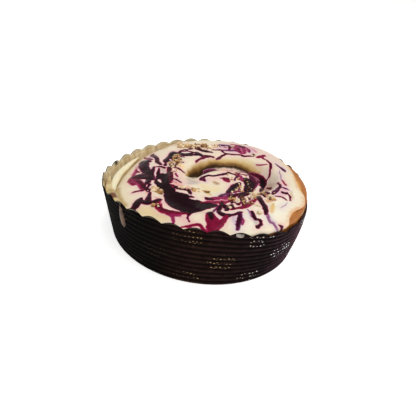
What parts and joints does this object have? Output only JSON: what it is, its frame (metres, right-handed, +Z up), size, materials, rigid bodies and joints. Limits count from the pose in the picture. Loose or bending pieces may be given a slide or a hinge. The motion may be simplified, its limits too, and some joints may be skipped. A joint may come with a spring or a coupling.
{
  "type": "cinnamon roll",
  "caption": "Round coiled sweet bun in a ribbed paper baking case, covered in icing with berry jam streaks and chopped nuts.",
  "frame": {"origin": "on the table under the middle of the paper case", "axes": "+Z up, -Y towards the viewer in the picture, +X to the viewer's right"},
  "size_m": [0.1234, 0.1246, 0.039],
  "materials": {
    "case_paper": "dark brown corrugated baking paper with small gold dotted rosettes outside, tan inside",
    "crust": "golden brown baked crust",
    "icing": "satin cream icing streaked with dark purple berry jam and sprinkled with chopped nuts",
    "case_inside": "plain tan baking paper inside the case",
    "nuts": "chopped roasted nuts"
  },
  "bodies": {
    "root": {"paper_case": "case_paper", "roll": "crust", "icing": "icing", "icing_run": "icing"}
  },
  "joints": []
}
